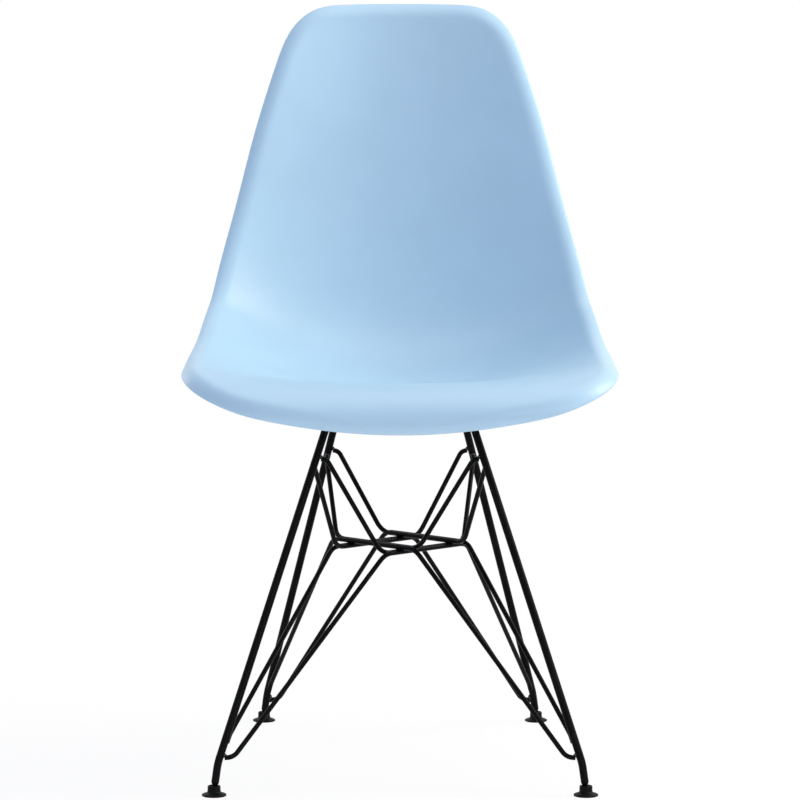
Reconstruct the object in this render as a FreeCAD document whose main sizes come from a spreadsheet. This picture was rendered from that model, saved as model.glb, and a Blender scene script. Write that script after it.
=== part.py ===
import FreeCAD, Part
import math
import os
import Sketcher

# A one-piece moulded plastic shell chair on a bent and welded rod base.
# Millimetres and degrees. +Z is up, the sitter faces -Y, and the origin is on the floor
# under the middle of the chair. Left and right are the sitter's mirror image: left is -X.

Vector = FreeCAD.Vector
UP = Vector(0, 0, 1)

# Driving sizes of the whole chair
MAIN_SIZES = [
    ("seat_height", 434.0, "top of the seat where its front edge begins to roll over"),
    ("lip_reach", 273.6, "furthest point of the front lip ahead of the middle"),
    ("shell_wall", 5.2, "wall of the moulded shell"),
    ("dish_power", 2.06, "how late the shell's sides curl up: 2 is a round dish"),
    ("flare_band", 18.0, "width of the outward flare along the rim"),
    ("flare_depth", 11.4, "how far the rim turns away from the sitter"),
]

# The shell's centre line from the tip of the front lip to the top of the back.
# Each stretch: run towards the back, rise, and how far the sides stand over its far end.
CENTRE_LINE = [
    ("lip_face", -3.1, 20.8, 8.8),
    ("lip_turn", 15.6, 18.0, 7.0),
    ("lip_top", 36.4, 10.5, 12.0),
    ("seat_front", 64.9, -6.2, 26.5),
    ("seat_middle", 89.1, -12.8, 46.0),
    ("seat_low", 88.0, -9.0, 70.0),
    ("seat_rear", 70.0, 9.0, 87.0),
    ("back_turn", 57.0, 34.0, 87.5),
    ("back_low", 38.0, 61.0, 81.5),
    ("back_middle", 27.0, 81.0, 78.0),
    ("back_high", 21.0, 91.0, 80.0),
    ("back_shoulder", 14.5, 77.0, 92.0),
    ("back_top", 12.5, 76.8, 72.0),
]
LIP_TIP_DISH = 4.4

# Half width of the shell's outline where each stretch of the centre line ends
HALF_WIDTHS = [
    ("lip_top", 222.7),
    ("seat_front", 230.7),
    ("seat_middle", 229.6),
    ("seat_rear", 220.3),
    ("back_low", 206.9),
    ("back_middle", 188.8),
    ("back_high", 166.9),
    ("back_shoulder", 143.7),
]

# The rounded ends of the outline: half width, and distance back from the lip or the top
ROUND_SIZES = [
    ("front_flat_x", 66.0, "half width of the nearly straight front edge"),
    ("front_flat_back", 5.3, "how far the outline has turned back there"),
    ("front_round_x", 122.0, "half width where the front edge begins to turn"),
    ("front_round_back", 17.6, "how far the outline has turned back there"),
    ("front_corner_x", 184.0, "half width at the round front corner"),
    ("front_corner_back", 39.2, "how far the outline has turned back there"),
    ("top_corner_x", 121.6, "half width at the round top corner"),
    ("top_corner_down", 28.4, "how far the outline has come down there"),
    ("top_round_x", 98.0, "half width where the top edge begins to turn"),
    ("top_round_down", 8.6, "how far the outline has come down there"),
    ("top_flat_x", 61.0, "half width of the nearly straight top edge"),
    ("top_flat_down", 1.5, "how far the outline has come down there"),
]

# What fastens the shell to the base
MOUNT_SIZES = [
    ("boss_drop", 10.5, "flat faces of the bosses below the seat's lowest mid wall"),
    ("boss_diameter", 28.0, "round boss under the seat"),
    ("insert_diameter", 11.0, "brass threaded insert"),
    ("insert_length", 9.0, "brass threaded insert"),
    ("fit_gap", 0.05, "radial gap of a part pressed or screwed into another"),
    ("pad_diameter", 28.0, "rubber pad between boss and plate"),
    ("pad_thickness", 3.0, "rubber pad between boss and plate"),
    ("pad_bore", 8.0, "hole through the rubber pad"),
    ("plate_width", 28.0, "mounting plate, front to back"),
    ("plate_thickness", 3.0, "mounting plate"),
    ("plate_corner", 6.0, "rounded corners of the mounting plate"),
    ("plate_hole", 6.8, "bolt hole in the mounting plate"),
    ("bolt_inset", 17.0, "bolt centre inside the hoop's top rod"),
    ("front_bolt_y", -73.6, "front pair of bolts"),
    ("back_bolt_y", 52.4, "back pair of bolts"),
    ("bolt_diameter", 6.0, "bolt shank"),
    ("bolt_length", 16.0, "bolt under its head"),
    ("head_flats", 10.0, "hexagon head across its flats"),
    ("head_height", 4.0, "hexagon head"),
    ("washer_diameter", 12.0, "flat washer"),
    ("washer_thickness", 1.6, "flat washer"),
    ("spring_diameter", 10.6, "spring washer"),
    ("spring_thickness", 1.6, "spring washer"),
    ("spring_slit", 1.0, "slit of the spring washer"),
]

# The rod base
BASE_SIZES = [
    ("rod_diameter", 8.3, "heavy rod of the side hoops"),
    ("wire_diameter", 5.25, "thin rod of the braces"),
    ("weld_gap", 0.1, "space between rods that are welded side by side"),
    ("front_foot_x", 195.8, "front foot from the middle"),
    ("front_foot_y", -220.6, "front foot"),
    ("back_foot_x", 158.5, "back foot from the middle"),
    ("back_foot_y", 215.4, "back foot"),
    ("front_hoop_x", 77.7, "front end of the hoop's top rod from the middle"),
    ("front_hoop_y", -103.5, "front end of the hoop's top rod"),
    ("back_hoop_x", 67.8, "back end of the hoop's top rod from the middle"),
    ("back_hoop_y", 79.6, "back end of the hoop's top rod"),
    ("hoop_bend", 18.0, "bend radius at the ends of the hoop's top rod"),
    ("ankle_height", 34.0, "height of the small bend above each foot"),
    ("ankle_shift", 3.9, "how far the leg moves inwards below that bend, each way"),
    ("ankle_bend", 45.0, "bend radius of that small bend"),
    ("cage_drop", 145.3, "level braces of the lower layer below the hoop's top rod"),
    ("cage_y", -7.6, "middle of the level square of braces"),
    ("cage_reach", 50.0, "where the upper braces cross, from that middle"),
    ("upper_overrun", 20.0, "how far an upper brace runs past each crossing"),
    ("lower_overrun", 16.0, "how far a lower brace runs past each crossing"),
    ("brace_bend", 23.0, "bend radius of the braces at the crossings"),
    ("upper_front_drop", 37.9, "weld of the upper braces on the front leg, below the top rod"),
    ("upper_back_drop", 52.4, "weld of the upper braces on the back leg, below the top rod"),
    ("upper_step", 7.0, "how much lower the side brace is welded"),
    ("upper_stub", 6.2, "level end of an upper brace beside the leg"),
    ("upper_end_bend", 9.0, "bend radius at that end"),
    ("lower_front_height", 39.6, "weld of the front brace on the front leg"),
    ("lower_back_height", 25.4, "weld of the back brace on the back leg"),
    ("lower_stub", 9.2, "level end of a lower brace beside the leg"),
    ("lower_end_bend", 14.0, "bend radius at that end"),
    ("lap_front_height", 64.0, "weld of the side brace along the front leg"),
    ("lap_back_height", 50.0, "weld of the side brace along the back leg"),
    ("lap_length", 9.0, "length that a side brace lies along the leg"),
    ("lap_bend", 16.0, "bend radius where a side brace leaves the leg"),
]

# The four feet: a ball on the end of each leg, in the socket of a floor glide
FOOT_SIZES = [
    ("ball_diameter", 9.0, "ball on the end of the leg"),
    ("ball_height", 6.5, "ball centre over the floor"),
    ("ball_gap", 0.1, "radial gap between ball and socket"),
    ("neck_diameter", 4.4, "thin end of the taper, at the ball"),
    ("neck_reach", 3.9, "thin end of the taper from the ball centre"),
    ("taper_reach", 7.6, "thick end of the taper from the ball centre"),
    ("glide_diameter", 26.0, "round foot of the glide"),
    ("glide_edge", 1.8, "upright edge of the round foot"),
    ("glide_dome", 4.0, "height at which the foot meets the collar"),
    ("collar_diameter", 13.8, "collar of the glide"),
    ("collar_height", 11.0, "top of the collar over the floor"),
    ("collar_chamfer", 0.8, "chamfer round the collar's top"),
    ("mouth_bottom", 7.2, "diameter of the funnel where it meets the socket"),
    ("mouth_top", 11.4, "diameter of the funnel at the top of the collar"),
]

SPOKES = 96
INNER_RINGS = [0.0, 0.16, 0.34, 0.52, 0.69, 0.85, 1.0]
OUTER_INSETS = [42.0, 33.0, 25.5, 19.5, 14.5, 10.0, 6.0]
EDGE_ANGLES = [90.0, 45.0, 0.0, -45.0, -90.0]

doc = FreeCAD.newDocument("ShellChair")
sheet = doc.addObject("Spreadsheet::Sheet", "Sizes")


def fill_sheet():
    """Writes every driving size into the spreadsheet under its own alias."""
    rows = list(MAIN_SIZES)
    rows.append(("lip_tip_dish", LIP_TIP_DISH, "how far the sides stand over the lip's tip"))
    for name, run, rise, dish in CENTRE_LINE:
        rows.append((name + "_run", run, "centre line stretch, towards the back"))
        rows.append((name + "_rise", rise, "centre line stretch, upwards"))
        rows.append((name + "_dish", dish, "how far the sides stand over its end"))
    for name, half_width in HALF_WIDTHS:
        rows.append((name + "_half_width", half_width, "half width of the outline there"))
    rows += ROUND_SIZES + MOUNT_SIZES + BASE_SIZES + FOOT_SIZES
    for number, (alias, value, note) in enumerate(rows, start=1):
        sheet.set("A%d" % number, note)
        sheet.set("B%d" % number, repr(value))
        sheet.setAlias("B%d" % number, alias)
    doc.recompute()


def size(alias):
    return float(sheet.get(alias))


fill_sheet()


# Shell


class ShellForm:
    """The middle of the shell's wall, charted by x across and s along the centre line."""

    def __init__(self):
        points = [Vector(0, 0, 0)]
        dishes = [size("lip_tip_dish")]
        for name, _, _, _ in CENTRE_LINE:
            points.append(points[-1] + Vector(0, size(name + "_run"), size(name + "_rise")))
            dishes.append(size(name + "_dish"))
        names = ["lip_tip"] + [row[0] for row in CENTRE_LINE]
        stations = [0.0]
        for before, after in zip(points, points[1:]):
            stations.append(stations[-1] + before.distanceToPoint(after))
        self.station = dict(zip(names, stations))
        self.length = stations[-1]
        lip_top = points[names.index("lip_top")]
        wall = size("shell_wall")
        front = min(point.y for point in points)
        shift = Vector(0, -size("lip_reach") + wall / 2 - front, size("seat_height") - wall / 2 - lip_top.z)
        self.centre_line = Part.BSplineCurve()
        self.centre_line.interpolate(Points=[point + shift for point in points], Parameters=stations)
        self.dish = Part.BSplineCurve()
        self.dish.interpolate(
            Points=[Vector(s, dish, 0) for s, dish in zip(stations, dishes)], Parameters=stations
        )
        self.half_width = size("seat_front_half_width")

    def lowest_seat(self):
        """The lowest height of the wall's middle along the seat's centre line."""
        start = self.station["seat_front"]
        span = self.station["back_turn"] - start
        return min(self.centre_line.value(start + span * share / 200).z for share in range(201))

    def flare(self, inset):
        share = max(0.0, 1.0 - inset / size("flare_band"))
        return size("flare_depth") * share**2

    def point(self, x, s, inset):
        base = self.centre_line.value(s)
        along = self.centre_line.tangent(s)[0]
        towards_sitter = Vector(0, -along.z, along.y)
        rise = self.dish.value(s).y * (abs(x) / self.half_width) ** size("dish_power")
        return base + Vector(x, 0, 0) + towards_sitter * (rise - self.flare(inset))

    def outline(self):
        """The closed edge in the chart, as a curve through its named points."""
        side = [
            (0.0, 0.0),
            (size("front_flat_x"), size("front_flat_back")),
            (size("front_round_x"), size("front_round_back")),
            (size("front_corner_x"), size("front_corner_back")),
        ]
        for name, _ in HALF_WIDTHS:
            side.append((size(name + "_half_width"), self.station[name]))
        for name in ("top_corner", "top_round", "top_flat"):
            side.append((size(name + "_x"), self.length - size(name + "_down")))
        side.append((0.0, self.length))
        other_side = [(-x, s) for x, s in reversed(side[1:-1])]
        curve = Part.BSplineCurve()
        curve.interpolate(Points=[Vector(x, s, 0) for x, s in side + other_side], PeriodicFlag=True)
        return curve


def outline_spokes(curve, count):
    """Evenly spaced places on the outline, each with its inward direction."""
    edge = curve.toShape()
    total = edge.Length
    places = []
    for number in range(count):
        parameter = edge.getParameterByLength(total * number / count)
        place = curve.value(parameter)
        along = curve.tangent(parameter)[0]
        places.append((place, Vector(-along.y, along.x, 0)))
    return places


def normal_at(form, x, s, inset):
    step = 0.5
    s_low = max(0.0, s - step)
    s_high = min(form.length, s + step)
    across = form.point(x + step, s, inset) - form.point(x - step, s, inset)
    along = form.point(x, s_high, inset) - form.point(x, s_low, inset)
    return across.cross(along).normalize()


def spoke_points(form, place, inward, middle):
    """One spoke from the middle of the top side, round the rim, to the middle below."""
    half_wall = size("shell_wall") / 2
    start_inset = OUTER_INSETS[0]
    knee = place + inward * start_inset
    top = []
    below = []
    for share in INNER_RINGS[:-1]:
        chart = middle + (knee - middle) * share
        centre = form.point(chart.x, chart.y, start_inset)
        normal = normal_at(form, chart.x, chart.y, start_inset)
        top.append(centre + normal * half_wall)
        below.append(centre - normal * half_wall)
    for inset in OUTER_INSETS:
        chart = place + inward * inset
        centre = form.point(chart.x, chart.y, inset)
        normal = rim_normal(form, place, inward, inset)
        top.append(centre + normal * half_wall)
        below.append(centre - normal * half_wall)
    chart = place + inward * half_wall
    centre = form.point(chart.x, chart.y, half_wall)
    normal = rim_normal(form, place, inward, half_wall)
    outward = rim_direction(form, place, inward, half_wall)
    edge = []
    for angle in EDGE_ANGLES:
        turn = math.radians(angle)
        edge.append(centre + (outward * math.cos(turn) + normal * math.sin(turn)) * half_wall)
    return top + edge + list(reversed(below))


def rim_place(form, place, inward, inset):
    chart = place + inward * inset
    return form.point(chart.x, chart.y, inset)


def rim_direction(form, place, inward, inset):
    """Outwards along the wall, square to the rim."""
    step = 0.5
    return (
        rim_place(form, place, inward, inset - step) - rim_place(form, place, inward, inset + step)
    ).normalize()


def rim_normal(form, place, inward, inset):
    step = 0.5
    along_rim = Vector(-inward.y, inward.x, 0)
    ahead = rim_place(form, place + along_rim * step, inward, inset)
    behind = rim_place(form, place - along_rim * step, inward, inset)
    outward = rim_direction(form, place, inward, inset)
    return outward.cross(behind - ahead).normalize()


def tangent_at_middle(spoke, start, normal, span):
    """The direction in which a spoke leaves the middle, flat on the wall."""
    step = spoke[start + 1 if start == 0 else start - 1] - spoke[start]
    flat = step - normal * step.dot(normal)
    return flat.normalize() * (step.Length / span)


def closed_skin(grid, normal):
    """One smooth closed surface through a grid of points, given spoke by spoke."""
    rows = len(grid[0])
    steps = [0.0]
    for row in range(1, rows):
        lengths = [spoke[row].distanceToPoint(spoke[row - 1]) for spoke in grid]
        steps.append(steps[-1] + sum(lengths) / len(lengths))
    curves = []
    for spoke in grid:
        curve = Part.BSplineCurve()
        curve.interpolate(
            Points=spoke,
            Parameters=steps,
            InitialTangent=tangent_at_middle(spoke, 0, normal, steps[1]),
            FinalTangent=tangent_at_middle(spoke, -1, normal, steps[-1] - steps[-2]) * -1,
            Scale=False,
        )
        curves.append(curve)
    rings = []
    around = [float(number) for number in range(len(grid) + 1)]
    for ring in zip(*[curve.getPoles() for curve in curves]):
        if ring[0].distanceToPoint(ring[len(ring) // 2]) < 1e-6:
            rings.append([ring[0]] * (len(ring) + 1))
            continue
        curve = Part.BSplineCurve()
        curve.interpolate(Points=list(ring), Parameters=around, PeriodicFlag=True)
        rings.append(curve.getPoles())
        last = curve
    skin = Part.BSplineSurface()
    skin.buildFromPolesMultsKnots(
        rings,
        curves[0].getMultiplicities(),
        last.getMultiplicities(),
        curves[0].getKnots(),
        last.getKnots(),
        False,
        True,
        3,
        3,
    )
    return skin


def solid_from(skin, rim_start, rim_end):
    """Splits the closed skin into top, rim and underside, each in a left and a right half."""
    skin.setVNotPeriodic()
    low, high, start, end = skin.bounds()
    faces = []
    for near, far in ((start, (start + end) / 2), ((start + end) / 2, end)):
        for inner, outer in ((low, rim_start), (rim_start, rim_end), (rim_end, high)):
            patch = skin.copy()
            patch.segment(inner, outer, near, far)
            faces.append(patch.toShape())
    sewn = Part.Compound(faces)
    sewn.sewShape()
    solid = Part.Solid(sewn.Shells[0])
    if solid.Volume < 0:
        solid.reverse()
    return solid


def shell_blank(form):
    """The moulded shell without its bosses."""
    spokes = outline_spokes(form.outline(), SPOKES)
    middle = Vector(0, form.length / 2, 0)
    grid = [spoke_points(form, place, inward, middle) for place, inward in spokes]
    start_inset = OUTER_INSETS[0]
    normal = normal_at(form, middle.x, middle.y, start_inset)
    skin = closed_skin(grid, normal)
    rows_before_rim = len(INNER_RINGS) - 1 + len(OUTER_INSETS)
    knots = skin.getUKnots()
    return solid_from(skin, knots[rows_before_rim], knots[-1 - rows_before_rim])


def place_on(point, axis):
    """A placement that turns +Z into the axis and moves the origin to the point."""
    return FreeCAD.Placement(point, FreeCAD.Rotation(UP, axis))


def add_object(kind, name, **properties):
    """Adds an object. A text that starts with = is bound to the spreadsheet."""
    item = doc.addObject(kind, name)
    item.Label = name
    for key, value in properties.items():
        if isinstance(value, str) and value.startswith("="):
            item.setExpression(key, value[1:])
        else:
            setattr(item, key, value)
    return item


def add_cylinder(name, diameter, height, placement):
    return add_object(
        "Part::Cylinder",
        name,
        Radius="=Sizes.%s / 2" % diameter,
        Height="=" + height,
        Placement=placement,
    )


def shift_up(point, amount):
    return point + Vector(0, 0, amount)


form = ShellForm()
SIDES = [("left", -1), ("right", 1)]
ENDS = ["front", "back"]


# Heights of the stack between shell and base, from the shell down

boss_face = form.lowest_seat() - size("boss_drop")
plate_top = boss_face - size("pad_thickness")
plate_bottom = plate_top - size("plate_thickness")
hoop_height = plate_bottom - size("rod_diameter") / 2


# Legs


def hoop_corner(side, end):
    """Where a leg meets the hoop's top rod."""
    return Vector(side * size(end + "_hoop_x"), size(end + "_hoop_y"), hoop_height)


def ball_centre(side, end):
    return Vector(side * size(end + "_foot_x"), size(end + "_foot_y"), size("ball_height"))


def ankle(side, end):
    """The small bend above a foot."""
    foot = ball_centre(side, end)
    towards_middle = 1 if end == "front" else -1
    shift = size("ankle_shift")
    return Vector(foot.x - side * shift, foot.y + towards_middle * shift, size("ankle_height"))


def leg_direction(side, end, height):
    """Upwards along the leg at a height."""
    bend = ankle(side, end)
    if height < bend.z:
        return (bend - ball_centre(side, end)).normalize()
    return (hoop_corner(side, end) - bend).normalize()


def leg_point(side, end, height):
    bend = ankle(side, end)
    direction = leg_direction(side, end, height)
    return bend + direction * ((height - bend.z) / direction.z)


def rounded_path(points, radii):
    """Straight runs joined by tangent arcs, one radius for each inner point."""
    edges = []
    start = points[0]
    for before, corner, after, radius in zip(points, points[1:], points[2:], radii):
        incoming = (before - corner).normalize()
        outgoing = (after - corner).normalize()
        half_angle = incoming.getAngle(outgoing) / 2
        reach = radius / math.tan(half_angle)
        first = corner + incoming * reach
        last = corner + outgoing * reach
        bisector = (incoming + outgoing).normalize()
        middle = corner + bisector * (radius / math.sin(half_angle) - radius)
        edges.append(Part.LineSegment(start, first).toShape())
        edges.append(Part.Arc(first, middle, last).toShape())
        start = last
    edges.append(Part.LineSegment(start, points[-1]).toShape())
    return Part.Wire(edges)


def add_rod(name, points, radii, diameter):
    """A bent rod of one diameter, swept along its path."""
    path = rounded_path(points, radii)
    spine = add_object("Part::Feature", name + "_path", Shape=path)
    section = add_object("Part::Circle", name + "_section", Radius="=Sizes.%s / 2" % diameter)
    section.Placement = place_on(points[0], (points[1] - points[0]).normalize())
    rod = add_object("Part::Sweep", name, Sections=[section], Solid=True, Frenet=False)
    rod.Spine = (spine, ["Edge%d" % (number + 1) for number in range(len(path.Edges))])
    return rod


def add_hoop(side_name, side):
    points = []
    radii = []
    for end, order in (("front", 1), ("back", -1)):
        foot = ball_centre(side, end)
        start = foot + leg_direction(side, end, foot.z) * size("taper_reach")
        points += [start, ankle(side, end), hoop_corner(side, end)][::order]
        radii += [size("ankle_bend"), size("hoop_bend")][::order]
    return add_rod("side_hoop_" + side_name, points, radii, "rod_diameter")


# Braces. Each one runs from a front leg over a side of the level square to the opposite
# back leg, so that the four of a set weave a square, and the square's corners cross.


def crossing_reach(level):
    """How far from the middle the braces of one set cross."""
    if level == "upper":
        return size("cage_reach")
    return size("cage_reach") + (size("wire_diameter") + size("weld_gap")) * math.sqrt(2)


def corner_bends(level, facing, side):
    """The two bends of a brace's level stretch, from the front leg's end to the back leg's.

    facing is the part of the square that it forms with a corner at the front or the back,
    and side is the side of the front leg that it starts from.
    """
    reach = crossing_reach(level)
    overrun = size(level + "_overrun")
    height = hoop_height - size("cage_drop")
    if side > 0:
        height += size("wire_diameter") + size("weld_gap")
    middle = Vector(0, size("cage_y"), height)
    near = Vector(side * overrun, -(reach + overrun), 0)
    far = Vector(-side * (reach + overrun), overrun, 0)
    if facing == "front":
        return [middle + near, middle + far]
    return [middle - far, middle - near]


def butt_end(level, side, end, towards, height):
    """A brace's end that stands against the leg and runs level away from it."""
    leg = leg_point(side, end, height)
    level_direction = Vector(towards.x, towards.y, 0).normalize()
    axis = leg_direction(side, end, height)
    square = (level_direction - axis * level_direction.dot(axis)).Length
    start = (size("rod_diameter") / 2 + size("weld_gap")) / square
    gap = start + size("wire_diameter") / 2 * math.sqrt(1 - square**2) / square
    return [leg + level_direction * gap, leg + level_direction * (gap + size(level + "_stub"))]


def lap_end(side, end, target, height):
    """A brace's end that lies along the leg before it leaves for its first bend."""
    leg = leg_point(side, end, height)
    axis = leg_direction(side, end, height)
    away = target - leg
    away = (away - axis * away.dot(axis)).normalize()
    distance = (size("rod_diameter") + size("wire_diameter")) / 2 + size("weld_gap")
    corner = leg + away * distance
    return [corner - axis * size("lap_length"), corner]


INWARD = {"front": Vector(0, 1, 0), "back": Vector(0, -1, 0)}


def upper_end(side, end, towards_side):
    """The end of an upper brace: its side brace is welded a little lower."""
    height = hoop_height - size("upper_%s_drop" % end)
    if towards_side:
        return butt_end("upper", side, end, INWARD[end], height - size("upper_step"))
    return butt_end("upper", side, end, Vector(-side, 0, 0), height)


def lower_end(side, end, towards_side, target):
    if towards_side:
        return lap_end(side, end, target, size("lap_%s_height" % end))
    return butt_end("lower", side, end, Vector(-side, 0, 0), size("lower_%s_height" % end))


def add_brace(level, facing, side_name, side):
    """A brace that starts at the front leg of a side and ends at the other back leg."""
    first_bend, last_bend = corner_bends(level, facing, side)
    side_at_front = facing == "back"
    if level == "upper":
        start = upper_end(side, "front", side_at_front)
        finish = upper_end(-side, "back", not side_at_front)
        radii = [size("upper_end_bend"), size("upper_end_bend")]
    else:
        start = lower_end(side, "front", side_at_front, first_bend)
        finish = lower_end(-side, "back", not side_at_front, last_bend)
        radii = [size("lower_end_bend"), size("lap_bend")]
        if side_at_front:
            radii.reverse()
    points = start + [first_bend, last_bend] + finish[::-1]
    bends = [radii[0], size("brace_bend"), size("brace_bend"), radii[1]]
    name = "%s_brace_%s_%s" % (level, facing, side_name)
    return add_rod(name, points, bends, "wire_diameter")


def add_rods():
    rods = [add_hoop(side_name, side) for side_name, side in SIDES]
    for level in ("upper", "lower"):
        for facing in ENDS:
            for side_name, side in SIDES:
                rods.append(add_brace(level, facing, side_name, side))
    return rods


# Bolted joint between the shell and the base


def bolt_place(side, end):
    """A bolt's axis on the hoop's plane: beside the top rod, towards the middle."""
    front = hoop_corner(side, "front")
    back = hoop_corner(side, "back")
    y = size(end + "_bolt_y")
    rod = front + (back - front) * ((y - front.y) / (back.y - front.y))
    along = (back - front).normalize()
    inward = Vector(-along.y, along.x, 0) * side
    return rod + inward * size("bolt_inset"), inward


def bolt_point(side, end, height):
    place, _ = bolt_place(side, end)
    return Vector(place.x, place.y, height)


def each_mount():
    for end in ENDS:
        for side_name, side in SIDES:
            yield end + "_" + side_name, side, end


def wall_tangent(form, x, y):
    """The middle of the wall over a place of the seat, and its upward normal."""
    low = form.station["lip_top"]
    high = form.station["back_turn"]
    for _ in range(40):
        s = (low + high) / 2
        if form.point(x, s, OUTER_INSETS[0]).y < y:
            low = s
        else:
            high = s
    return form.point(x, s, OUTER_INSETS[0]), normal_at(form, x, s, OUTER_INSETS[0])


def add_boss(name, side, end):
    """A round boss that grows out of the underside and stops at the middle of the wall."""
    foot = bolt_point(side, end, boss_face)
    wall, normal = wall_tangent(form, foot.x, foot.y)
    boss = add_cylinder(
        "boss_" + name,
        "boss_diameter",
        "Sizes.boss_drop + 2 * Sizes.boss_diameter",
        FreeCAD.Placement(foot, FreeCAD.Rotation()),
    )
    trim = add_object(
        "Part::Box",
        "boss_trim_" + name,
        Length="=3 * Sizes.boss_diameter",
        Width="=3 * Sizes.boss_diameter",
        Height="=Sizes.boss_drop + 3 * Sizes.boss_diameter",
    )
    half = 1.5 * size("boss_diameter")
    turn = FreeCAD.Rotation(UP, normal)
    trim.Placement = FreeCAD.Placement(wall - turn.multVec(Vector(half, half, 0)), turn)
    return add_object("Part::Cut", "boss_body_" + name, Base=boss, Tool=trim)


def add_seat_shell():
    blank = add_object("Part::Feature", "shell_blank", Shape=shell_blank(form))
    bosses = []
    holes = []
    for name, side, end in each_mount():
        bosses.append(add_boss(name, side, end))
        holes.append(
            add_object(
                "Part::Cylinder",
                "insert_hole_" + name,
                Radius="=Sizes.insert_diameter / 2 + Sizes.fit_gap",
                Height="=Sizes.insert_length + Sizes.fit_gap",
                Placement=FreeCAD.Placement(bolt_point(side, end, boss_face), FreeCAD.Rotation()),
            )
        )
    body = add_object("Part::MultiFuse", "shell_with_bosses", Shapes=[blank] + bosses)
    cutter = add_object("Part::Compound", "insert_holes", Links=holes)
    return add_object("Part::Cut", "seat_shell", Base=body, Tool=cutter)


def add_ring(name, diameter, bore, height, placement):
    """A flat ring: outer diameter, bore and height are formulas on the sheet."""
    rounds = []
    for part, formula in (("_outer", diameter), ("_bore", bore)):
        rounds.append(
            add_object(
                "Part::Cylinder",
                name + part,
                Radius="=(%s) / 2" % formula,
                Height="=" + height,
                Placement=placement,
            )
        )
    return add_object("Part::Cut", name, Base=rounds[0], Tool=rounds[1])


def add_insert(name, side, end):
    placement = FreeCAD.Placement(bolt_point(side, end, boss_face), FreeCAD.Rotation())
    return add_ring(
        "insert_" + name,
        "Sizes.insert_diameter",
        "Sizes.bolt_diameter + 2 * Sizes.fit_gap",
        "Sizes.insert_length",
        placement,
    )


def add_pad(name, side, end):
    placement = FreeCAD.Placement(bolt_point(side, end, plate_top), FreeCAD.Rotation())
    return add_ring(
        "rubber_pad_" + name, "Sizes.pad_diameter", "Sizes.pad_bore", "Sizes.pad_thickness", placement
    )


def add_plate(name, side, end):
    """A flat ear on top of the hoop's rod, rounded at its corners, with the bolt hole."""
    body = doc.addObject("PartDesign::Body", "mount_plate_" + name)
    body.Label = "mount_plate_" + name
    sketch = body.newObject("Sketcher::SketchObject", "mount_plate_sketch_" + name)
    plane = next(item for item in body.Origin.OriginFeatures if item.Role == "XY_Plane")
    sketch.AttachmentSupport = [(plane, "")]
    sketch.MapMode = "FlatFace"
    near = -size("rod_diameter") / 2
    hole = size("bolt_inset")
    half = size("plate_width") / 2
    far = hole + half
    places = [(near, -half), (far, -half), (far, half), (near, half)]
    corners = [Vector(x, y, 0) for x, y in places]
    for first, last in zip(corners, corners[1:] + corners[:1]):
        sketch.addGeometry(Part.LineSegment(first, last), False)
    for line in range(4):
        sketch.addConstraint(Sketcher.Constraint("Coincident", line, 2, (line + 1) % 4, 1))
    for line, kind in enumerate(["Horizontal", "Vertical", "Horizontal", "Vertical"]):
        sketch.addConstraint(Sketcher.Constraint(kind, line))
    sketch.addGeometry(Part.Circle(Vector(hole, 0, 0), UP, size("plate_hole") / 2), False)
    sketch.addConstraint(Sketcher.Constraint("PointOnObject", 4, 3, -1))
    named = [
        ("near_edge", ("DistanceX", 0, 1, -1, 1, -near), "Sizes.rod_diameter / 2"),
        ("far_edge", ("DistanceX", -1, 1, 0, 2, far), "Sizes.bolt_inset + Sizes.plate_width / 2"),
        ("low_edge", ("DistanceY", 0, 1, -1, 1, half), "Sizes.plate_width / 2"),
        ("high_edge", ("DistanceY", -1, 1, 2, 1, half), "Sizes.plate_width / 2"),
        ("hole_reach", ("DistanceX", -1, 1, 4, 3, hole), "Sizes.bolt_inset"),
        ("hole_size", ("Diameter", 4, size("plate_hole")), "Sizes.plate_hole"),
    ]
    for constraint_name, terms, formula in named:
        index = sketch.addConstraint(Sketcher.Constraint(*terms))
        sketch.renameConstraint(index, constraint_name)
        sketch.setExpression("Constraints." + constraint_name, formula)
    doc.recompute()
    pad = body.newObject("PartDesign::Pad", "mount_plate_pad_" + name)
    pad.Profile = sketch
    pad.setExpression("Length", "Sizes.plate_thickness")
    doc.recompute()
    uprights = []
    for number, edge in enumerate(pad.Shape.Edges, start=1):
        ends = [vertex.Point for vertex in edge.Vertexes]
        if len(ends) == 2 and abs(ends[0].z - ends[1].z) > size("plate_thickness") / 2:
            if abs(abs(ends[0].y) - half) < 0.001:
                uprights.append("Edge%d" % number)
    rounding = body.newObject("PartDesign::Fillet", "mount_plate_rounding_" + name)
    rounding.Base = (pad, uprights)
    rounding.setExpression("Radius", "Sizes.plate_corner")
    place, inward = bolt_place(side, end)
    turn = FreeCAD.Rotation(Vector(1, 0, 0), inward)
    rod = place - inward * size("bolt_inset")
    body.Placement = FreeCAD.Placement(Vector(rod.x, rod.y, plate_bottom), turn)
    return body


def add_washer(name, side, end):
    top = bolt_point(side, end, plate_bottom - size("washer_thickness"))
    return add_ring(
        "washer_" + name,
        "Sizes.washer_diameter",
        "Sizes.bolt_diameter + 8 * Sizes.fit_gap",
        "Sizes.washer_thickness",
        FreeCAD.Placement(top, FreeCAD.Rotation()),
    )


def head_top():
    return plate_bottom - size("washer_thickness") - size("spring_thickness")


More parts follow.
